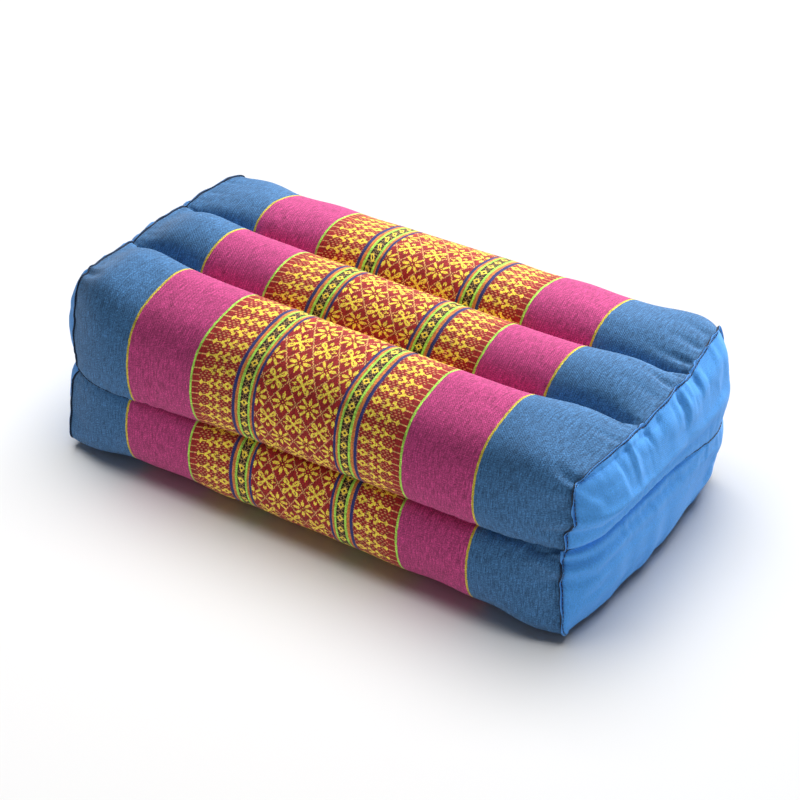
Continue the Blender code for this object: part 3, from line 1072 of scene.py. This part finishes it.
EDGE_TURNS = 0.6  # where the navy side ends, in the seam's own cloth coordinate
OVERCAST_PITCH = 0.8  # mm
NAVY_THREAD = "#101c2e", "#223a58"  # between two threads, and on one
EDGE_BLUE = "#4a8fd8"


def sewing_thread(name, colour):
    """Spun cotton thread. The eye sees small round stitches with the thread's twist on them."""
    material, tree, shader = new_material(name)
    place = add(tree, "Attribute", attribute_name="cloth").outputs["Vector"]
    twist = yarn_streaks(tree, place, 0.3, 0.8)
    tones = yarn_tones(tree, [(twist, 0.2)])
    tinted = add(tree, "VectorMath", linear(colour)[:3], tones, operation="MULTIPLY")
    cotton_finish(tree, shader, tinted.outputs[0], twist.outputs[0], 0.7, 0.05 * MM)
    return material


def matt_paper(name, colour):
    material, _, shader = new_material(name)
    shader.inputs["Base Color"].default_value = linear(colour)
    shader.inputs["Roughness"].default_value = 0.9
    return material


# Pieces


def skew(x):
    """How far the cloth's cross threads have slipped down the girth, in mm: a parabola that
    grows towards the left end."""
    return SKEW_BEND * np.clip(SKEW_START - x, 0, None) ** 2


def cloth_places(across):
    """Where on the flat cloth each face starts and ends along the girth, in mm: x, and the
    length measured by the flowers and by the narrow rows, which is phase + scale * s + bend * s^2
    with s from the tube's stitch line. On each tube the cloth lies a little to one side, and a
    little wide or narrow."""
    girth = middle_girth()
    slip = skew(across)
    beyond = np.clip((np.abs(across) - RED_BAND_END) / (WIDE_STRIPES[-2][0] - RED_BAND_END), 0, 1)
    widening = np.clip(across / RED_BAND_END, -1, 1) * (1 - SPREAD_LOSS * beyond)
    in_ring_band = np.interp(np.abs(across), RING_BAND, (0, 1, 1, 0))
    tubes = zip(TUBE_ROWS, TUBE_SLIDES, TUBE_SPREADS, RING_SHIFTS, LINE_INDICES, LINE_INDICES[1:])
    starts, ends = [], []
    for tube, slide, spread, rings, first, last in tubes:
        from_line = girth[first : last + 1] - girth[first]
        s = from_line[None] + slip[:, None]
        quarters = from_line / from_line[-1] * 4
        widened = np.interp(quarters, range(5), spread)[None] * widening[:, None]
        moved = np.interp(quarters, range(5), slide)[None] + widened
        rows = [tube[k] + tube[k + 1] * s + tube[k + 2] * s**2 for k in (0, 3)]
        rows[1] += (in_ring_band * np.where(across < 0, *rings))[:, None]
        places = np.stack([across[:, None] - moved, *rows], axis=-1)
        starts.append(places[:, :-1])
        ends.append(places[:, 1:])
    return np.concatenate(starts, axis=1), np.concatenate(ends, axis=1)


SKEW_BEND = 0.00088
SKEW_START = 38.0
TUBE_ROWS = [
    # flowers' phase, scale and bend, then the narrow rows' phase, scale and bend
    (-71.1, 1.29, -0.0023, -61.6, 1.34, -0.0027),  # front upper tube
    (-6.7, 1.42, -0.005, -14.0, 1.09, 0.0),  # top middle
    (-11.9, 1.01, 0.0, -16.3, 0.99, 0.0),  # back upper
    (0.0, 1.0, 0.0, 0.0, 1.0, 0.0),  # back lower
    (0.0, 1.0, 0.0, 0.0, 1.0, 0.0),  # base middle
    (-143.4, 1.05, 0.0, -111.9, 1.0, 0.0),  # front lower
]
# How far the cloth has moved in X at the quarters of each tube's girth, in mm, and how much
# further out its stripes lie there
TUBE_SLIDES = [
    (2.0, 0.8, -0.2, -0.2, 1.0),
    (-1.2, -0.1, 0.1, 0.4, 0.6),
    (-3.6, -4.4, -5.0, -4.0, -3.0),
    (-3.0, -2.0, -1.0, 0.0, 0.0),
    (0.0, 0.0, 0.0, 0.0, 0.0),
    (0.0, -0.7, -1.4, -1.6, -2.4),
]
TUBE_SPREADS = [
    (0.3, 0.3, -0.8, -1.5, -1.4),
    (1.4, 1.4, 1.0, 0.5, -0.4),
    (0.7, 0.9, 0.8, 0.6, 0.4),
    (0.3, 0.0, 0.0, 0.0, 0.0),
    (0.0, 0.0, 0.0, 0.0, 0.0),
    (0.0, 1.0, 1.6, 1.0, 0.4),
]
SPREAD_LOSS = 0.7
# How far the rings of each tube's left and right dark band lie from the narrow rows, in mm
RING_SHIFTS = [(0.0, 0.0), (3.2, 2.2), (4.2, 0.0), (0.0, 0.0), (0.0, 0.0), (4.2, -0.6)]
RING_BAND = 29.0, 31.0, 38.0, 40.0


def set_texture_map(wrap, rows, count):
    """A map for baked colour: the cloth laid flat, and the hidden caps in a narrow strip beside it."""
    girth = middle_girth()
    across = (wrap_stations() / wrap_stations()[-1] + 1) / 2 * (1 - CAP_STRIP)
    side_faces = grid_faces(rows, count, True)
    r, c = side_faces[:, 0] // count, side_faces[:, 0] % count
    u = np.stack([across[r], across[r + 1], across[r + 1], across[r]], axis=1)
    v = np.stack([girth[c], girth[c], girth[c + 1], girth[c + 1]], axis=1) / girth[-1]
    loops = len(wrap.data.loops)
    corner = np.empty(loops, np.int32)
    wrap.data.loops.foreach_get("vertex_index", corner)
    places = np.empty(len(wrap.data.vertices) * 3, np.float32)
    wrap.data.vertices.foreach_get("co", places)
    caps = places.reshape(-1, 3)[corner[side_faces.size :]]
    cap_u = 1 - CAP_STRIP + 0.9 * CAP_STRIP * np.clip(caps[:, 2] / HEIGHT_FRONT, 0, 1)
    cap_v = 0.25 + caps[:, 1] + 0.5 * (caps[:, 0] > 0)
    values = np.concatenate([np.stack([u, v], axis=-1).reshape(-1, 2), np.stack([cap_u, cap_v], axis=-1)])
    wrap.data.uv_layers.new(name="OFBake").data.foreach_set("uv", values.astype(np.float32).ravel())


CAP_STRIP = 0.03


def build_wrap(material):
    points = puckered(wandering(wrap_surface()))
    points[:, :, 2] = np.maximum(points[:, :, 2], 0)
    rows, count = points.shape[:2]
    cap_points, cap_faces = close_ends(points, count, rows)
    side_faces = grid_faces(rows, count, True)
    wrap = make_piece(
        "wrap",
        np.concatenate([points.reshape(-1, 3), cap_points]),
        np.concatenate([side_faces, cap_faces]),
        material,
    )
    starts, ends = cloth_places(wrap_stations())
    r, c = side_faces[:, 0] // count, side_faces[:, 0] % count
    sides = np.stack([starts[r, c], starts[r + 1, c], ends[r + 1, c], ends[r, c]], axis=1).reshape(-1, 3)
    hidden = np.tile([CORNER_X / MM, 0.0, 0.0], (cap_faces.size, 1))
    set_cloth(wrap, np.concatenate([sides, hidden]))
    set_texture_map(wrap, rows, count)
    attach(wrap, "root")
    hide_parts("filled_wrap")
    return points


# Folds of the right panel: y, z to y, z, then depth, width and the side of the lip, in mm. The
# left one has the same, turned to its own front.
PANEL_FOLDS = [
    (-38, 110, -42, 84, 4.4, 2.6, 1),
    (-4, 110, -9, 95, 3.0, 2.4, 1),
    (21, 110, 18, 87, 4.4, 2.8, 1),
    (11, 109, 8, 93, 2.2, 2.2, 1),
    (-19, 109, -19, 96, 1.8, 2.2, 1),
    (43, 110, 39, 93, 2.8, 2.6, 1),
    (66, 111, 61, 96, 1.8, 2.4, 1),
    (-86, 104, -70, 89, 1.6, 4.0, -1),
    (-88, 78, -68, 83, 0.9, 2.4, 1),
    (-62, 64, -58, 80, 0.9, 4.0, 1),
    (-47, 58, -41, 45, 1.6, 1.8, 1),
    (-35, 60, -31, 50, 0.5, 1.8, 1),
    (-18, 58, -10, 44, 1.4, 1.8, 1),
    (0, 60, 6, 50, 0.4, 2.2, -1),
    (14, 58, 24, 45, 1.4, 2.0, 1),
    (36, 60, 40, 50, 0.5, 2.2, 1),
    (47, 58, 49, 44, 1.4, 2.0, 1),
    (-88, 56, -68, 36, 0.7, 3.0, 1),
    (-60, 4, -50, 20, 0.8, 5.0, 1),
    (10, 4, 4, 20, 0.8, 5.0, -1),
]
# Depths and reaches in mm, and the shortest and longest wave of each kind of gather
PANEL_GATHER = 0.5
PANEL_GATHER_REACH = 4.0
PANEL_WAVES = 7.0, 18.0
SIDE_GATHER_SHARE = 0.25
SIDE_WAVES = 7.0, 15.0
CREASE_GATHER = 0.45
CREASE_LEAN = 0.2
CREASE_WAVES = 6.0, 14.0
GATHER_INSET = 2
PANEL_GROWTH = 0.01
PANEL_FURTHEST = 2 * MM


def panel_normals(points, end):
    """Outward normals of a panel's surface: the cross product of its two directions."""
    normals = unit(np.cross(np.gradient(points, axis=0), np.gradient(points, axis=1)))
    return normals * (np.sign(normals[:, :, :1]) * end)


def panel_points(outline, end):
    """The end panel with its gathers along the edge and the crease, and its single folds."""
    points = end_surface(outline, end)
    rows, columns = points.shape[:2]
    k = rows // 2
    normals = panel_normals(points, end)
    y, z = points[:, :, 1] / MM, points[:, :, 2] / MM
    from_top, from_base = z[-1] - z, z - z[0]
    from_sides = np.minimum(y - y[:, :1], y[:, -1:] - y)
    from_crease = np.abs(z - z[k])
    dips = np.clip(waves(400 + end, y, *PANEL_WAVES), 0, None)
    side_dips = SIDE_GATHER_SHARE * np.clip(waves(410 + end, z, *SIDE_WAVES), 0, None)
    crease_dips = np.clip(waves(420 + end, y + CREASE_LEAN * z, *CREASE_WAVES), 0, None)
    reach = PANEL_GATHER_REACH
    depth = PANEL_GATHER * dips * (beside(from_top, reach) + beside(from_base, reach))
    depth += PANEL_GATHER * side_dips * beside(from_sides, reach)
    depth += CREASE_GATHER * crease_dips * beside(from_crease, reach)
    depth += step_depths(np.stack([end * y, z], axis=-1), PANEL_FOLDS)
    inside = np.minimum(np.minimum(from_top, from_base), from_sides)
    points -= normals * (depth * np.clip(inside / GATHER_INSET, 0, 1))[:, :, None] * MM
    pins = np.zeros((rows, columns))
    pins[[0, k, -1]] = 1
    pins[:, [0, -1]] = 1
    faces = grid_faces(rows, columns, False)[:, ::end]
    slack = np.ones((rows, columns))
    return swollen(points, faces, pins, slack, PANEL_GROWTH, PANEL_FURTHEST)


THREAD_RADIUS = 0.26 * MM
THREAD_LIFT = 0.22 * MM  # of a stitch's middle line over the cloth
CREASE_LIFT = 0.45 * MM
STITCH_SIDES = 6
STITCH_REACH = [-0.44, -0.2, 0.2, 0.44]  # where a stitch's rings lie, in pitches from its middle
STITCH_TAPER = [0.45, 1.0, 1.0, 0.45]


def at_distances(line, along, where):
    """The points of a line at these distances along it."""
    return np.stack([np.interp(where, along, line[:, k]) for k in range(3)], axis=1)


def thread_stitches(name, lines, normals, pitch, material, lift=THREAD_LIFT):
    """Stitches along lines of points: six-sided spindles of thread, each 0.88 of the pitch long
    and a little sunk in the cloth, whose radius is widest along their middle."""
    centres, ahead, up = [], [], []
    for line, leans in zip(lines, normals):
        along = lengths_along(line)
        count = int(along[-1] / pitch)
        place = (np.arange(count) + 0.5) / count * along[-1]
        centres.append(at_distances(line, along, place))
        after, before = (at_distances(line, along, place + step) for step in (pitch / 4, -pitch / 4))
        ahead.append(after - before)
        up.append(at_distances(leans, along, place))
    centres, ahead, up = (np.concatenate(part) for part in (centres, ahead, up))
    ahead = unit(ahead)
    beside_it = unit(np.cross(ahead, up))
    up = np.cross(beside_it, ahead)
    rings = len(STITCH_REACH)
    turn = np.tile(np.arange(STITCH_SIDES) * 2 * np.pi / STITCH_SIDES, rings)
    reach = np.repeat(STITCH_REACH, STITCH_SIDES) * pitch
    radius = np.repeat(STITCH_TAPER, STITCH_SIDES) * THREAD_RADIUS
    shape = np.stack([reach, np.cos(turn) * radius, np.sin(turn) * radius], axis=1)
    frames = np.stack([ahead, beside_it, up], axis=1)
    points = centres[:, None] + np.einsum("vk,nkx->nvx", shape, frames) + up[:, None] * lift
    caps = np.array([[0, 3, 2, 1], [0, 5, 4, 3], [18, 19, 20, 21], [18, 21, 22, 23]])
    template = np.concatenate([grid_faces(rings, STITCH_SIDES, True), caps[:, ::-1]])
    faces = (template[None] + len(shape) * np.arange(len(centres))[:, None, None]).reshape(-1, 4)
    threads = make_piece(name, points, faces, material)
    number = np.arange(len(centres))[:, None] * pitch / MM
    places = np.stack(np.broadcast_arrays(number + shape[None, :, 0] / MM, turn, 0.0), axis=-1)
    set_cloth(threads, places.reshape(-1, 3)[faces].reshape(-1, 3))
    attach(threads, "root")
    return threads


CHANNEL_PITCH = 3.2 * MM
CREASE_PITCH = 2.8 * MM
TOPSTITCH_PITCH = 2.9 * MM
TOPSTITCH_INSIDE = 0.25  # share of the first row of the panel's mesh, from the seam


def topstitched_line(grid):
    """A line just inside the edge of a grid of points: up its front, over its top and down its
    back."""
    near = TOPSTITCH_INSIDE
    front = (1 - near) * grid[:, 0] + near * grid[:, 1]
    top = (1 - near) * grid[-1] + near * grid[-2]
    back = (1 - near) * grid[:, -1] + near * grid[:, -2]
    return np.concatenate([front[:-1], top[1:-1], back[::-1][1:]])


def build_panel_threads(side, end, points, material):
    normals = panel_normals(points, end)
    middle = len(points) // 2
    lines = [points[middle]], [normals[middle]]
    crease = thread_stitches(f"crease_stitches_{side}", *lines, CREASE_PITCH, material, CREASE_LIFT)
    lines = [topstitched_line(points)], [topstitched_line(normals)]
    topstitch = thread_stitches(f"topstitching_{side}", *lines, TOPSTITCH_PITCH, material)
    return [crease, topstitch]


def build_channel_threads(points, normals, material):
    lines = [points[:, k] for k in LINE_INDICES[:-1]]
    leans = [normals[:, k] for k in LINE_INDICES[:-1]]
    thread_stitches("channel_stitches", lines, leans, CHANNEL_PITCH, material)


def build_panel(side, end, outline, material, thread):
    points = panel_points(outline, end)
    rows, columns = points.shape[:2]
    faces = grid_faces(rows, columns, False)[:, ::-end]
    panel = make_piece(f"panel_{side}", points, faces, material)
    # the crease row, marked for the painted shade of the panel's material
    painted_crease_shade_row = np.zeros((rows, columns))
    painted_crease_shade_row[rows // 2] = 1
    places = np.stack([points[:, :, 1] / MM, points[:, :, 2] / MM, painted_crease_shade_row], axis=-1).reshape(-1, 3)
    set_cloth(panel, places[faces].reshape(-1, 3))
    thickness = panel.modifiers.new("thickness", "SOLIDIFY")
    thickness.thickness = PANEL_THICKNESS
    thickness.offset = -1
    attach(panel, "root")
    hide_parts(f"end_panel_{side}")
    threads = build_panel_threads(side, end, points, thread)


def build_seam(side, end, seam, leans, material):
    """The raised seam: a rounded strip whose profile stands along the wrap's own normals, and
    whose height and lean waver along it."""
    turn = np.arange(RIDGE_SIDES) / RIDGE_SIDES * 2 * np.pi
    lift = (1 - np.cos(turn)) / 2
    side_step = np.sign(np.sin(turn)) * np.abs(np.sin(turn)) ** 0.5 / 2
    girth = lengths_along(seam) / MM
    height = RIDGE_HEIGHTS[end] * (1 - RIDGE_CUT_BELOW * np.clip(-leans[:, 2], 0, 1))
    height *= 1 + RIDGE_WAVER * waves(500 + end, girth, *HEIGHT_WAVES)
    out = unit(np.array([end, 0, 0]) - leans * (leans[:, :1] * end))
    tilt = RIDGE_TILT * (TILT_LEVEL + waves(510 + end, girth, *TILT_WAVES))[:, None] * lift
    step = RIDGE_THICKNESS * side_step + tilt
    points = (
        seam[:, None]
        + leans[:, None] * (RIDGE_ROOT + height[:, None] * lift)[:, :, None]
        + out[:, None] * step[:, :, None]
    )
    points[:, :, 2] = np.maximum(points[:, :, 2], FLOOR_GAP)
    count = len(seam)
    faces = grid_faces(count + 1, RIDGE_SIDES, True) % (count * RIDGE_SIDES)
    faces = faces[:, ::end]
    strip = make_piece(f"seam_{side}", points, faces, material)
    around = np.broadcast_arrays(girth[:, None], 10 * lift, 10 * side_step)
    set_cloth(strip, np.stack(around, axis=-1).reshape(-1, 3)[faces].reshape(-1, 3))
    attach(strip, "root")
    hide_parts(f"end_seam_{side}")


RIDGE_WAVER = 0.12  # of the ridge's height
HEIGHT_WAVES = 9, 30
RIDGE_TILT = 0.4 * MM
TILT_LEVEL = 0.6
TILT_WAVES = 12, 35


def add_camera():
    back = Vector((
        np.sin(CAMERA_AZIMUTH) * np.cos(CAMERA_ELEVATION),
        -np.cos(CAMERA_AZIMUTH) * np.cos(CAMERA_ELEVATION),
        np.sin(CAMERA_ELEVATION),
    ))
    right = Vector((np.cos(CAMERA_AZIMUTH), np.sin(CAMERA_AZIMUTH), 0))
    camera = bpy.data.cameras.new("camera")
    camera.lens = CAMERA_LENS_MM
    camera.sensor_width = SENSOR_MM
    holder = new_object("camera", camera)
    turned = Matrix((right, back.cross(right), back)).transposed().to_4x4()
    holder.matrix_world = Matrix.Translation(CAMERA_PLACE) @ turned
    bpy.context.scene.camera = holder


def add_light(name, place, size, energy, lit_things):
    """A square area light that looks at the middle of the cushion and lights these things only."""
    light = bpy.data.lights.new(name, "AREA")
    light.size = size
    light.energy = energy
    holder = new_object(name, light)
    holder.location = place
    to_cushion = Vector((0, 0, HEIGHT_FRONT / 2)) - Vector(place)
    holder.rotation_euler = to_cushion.to_track_quat("-Z", "Y").to_euler()
    lit = bpy.data.collections.new(name)
    for thing in lit_things:
        lit.objects.link(thing)
    holder.light_linking.receiver_collection = lit


# Name, place and size in metres, and power in watts
LIGHTS = [
    ("key", (0.1, 1.35, 1.15), 1.1, 60),
    ("front_top", (-0.5, -0.8, 1.5), 1.0, 5),
    ("right_fill", (1.66, 0.0, 0.7), 0.7, 7),
]
FLOOR_LIGHT = "floor_light", (-0.2, 0.45, 2.4), 2.5, 90
WORLD_STRENGTH = 0.1
FLOOR_HALF_SIZE = 4
FLOOR_DROP = 0.5 * MM


def add_studio():
    """A pale floor with its own light from above, and soft lights on the cushion from behind, from
    the front above and from the right. The key's shadow stays off the floor, as in the photograph."""
    pieces = [thing for thing in bpy.context.scene.objects if thing.type == "MESH"]
    h, z = FLOOR_HALF_SIZE, -FLOOR_DROP
    floor = make_piece(
        "floor",
        np.array([[-h, -h, z], [h, -h, z], [h, h, z], [-h, h, z]]),
        np.array([[0, 1, 2, 3]]),
        matt_paper("white_paper_backdrop", "#f0f0f0"),
    )
    world = bpy.data.worlds.new("studio")
    world.use_nodes = True
    background = world.node_tree.nodes["Background"]
    background.inputs["Color"].default_value = (1, 1, 1, 1)
    background.inputs["Strength"].default_value = WORLD_STRENGTH
    bpy.context.scene.world = world
    for light in LIGHTS:
        add_light(*light, pieces)
    add_light(*FLOOR_LIGHT, [floor])
    bpy.context.scene.view_settings.view_transform = "Standard"


def build():
    wrap_points = build_wrap(brocade_cotton())
    normals = surface_normals(wrap_points)
    panel_cloth = plain_cotton("plain_woven_cotton", "#4f9ce8")
    seam_cloth = turned_edge()
    brown_thread = sewing_thread("dark_brown_cotton_thread", "#3b3a42")
    build_channel_threads(wrap_points, normals, sewing_thread("navy_cotton_thread", "#15202f"))
    for side, end, row in (("left", -1, 0), ("right", 1, -1)):
        build_panel(side, end, panel_edge(wrap_points[row], end), panel_cloth, brown_thread)
        build_seam(side, end, wrap_points[row], normals[row], seam_cloth)
    add_camera()
    add_studio()


def corners(box):
    return [list(corner) for corner in box]


build()
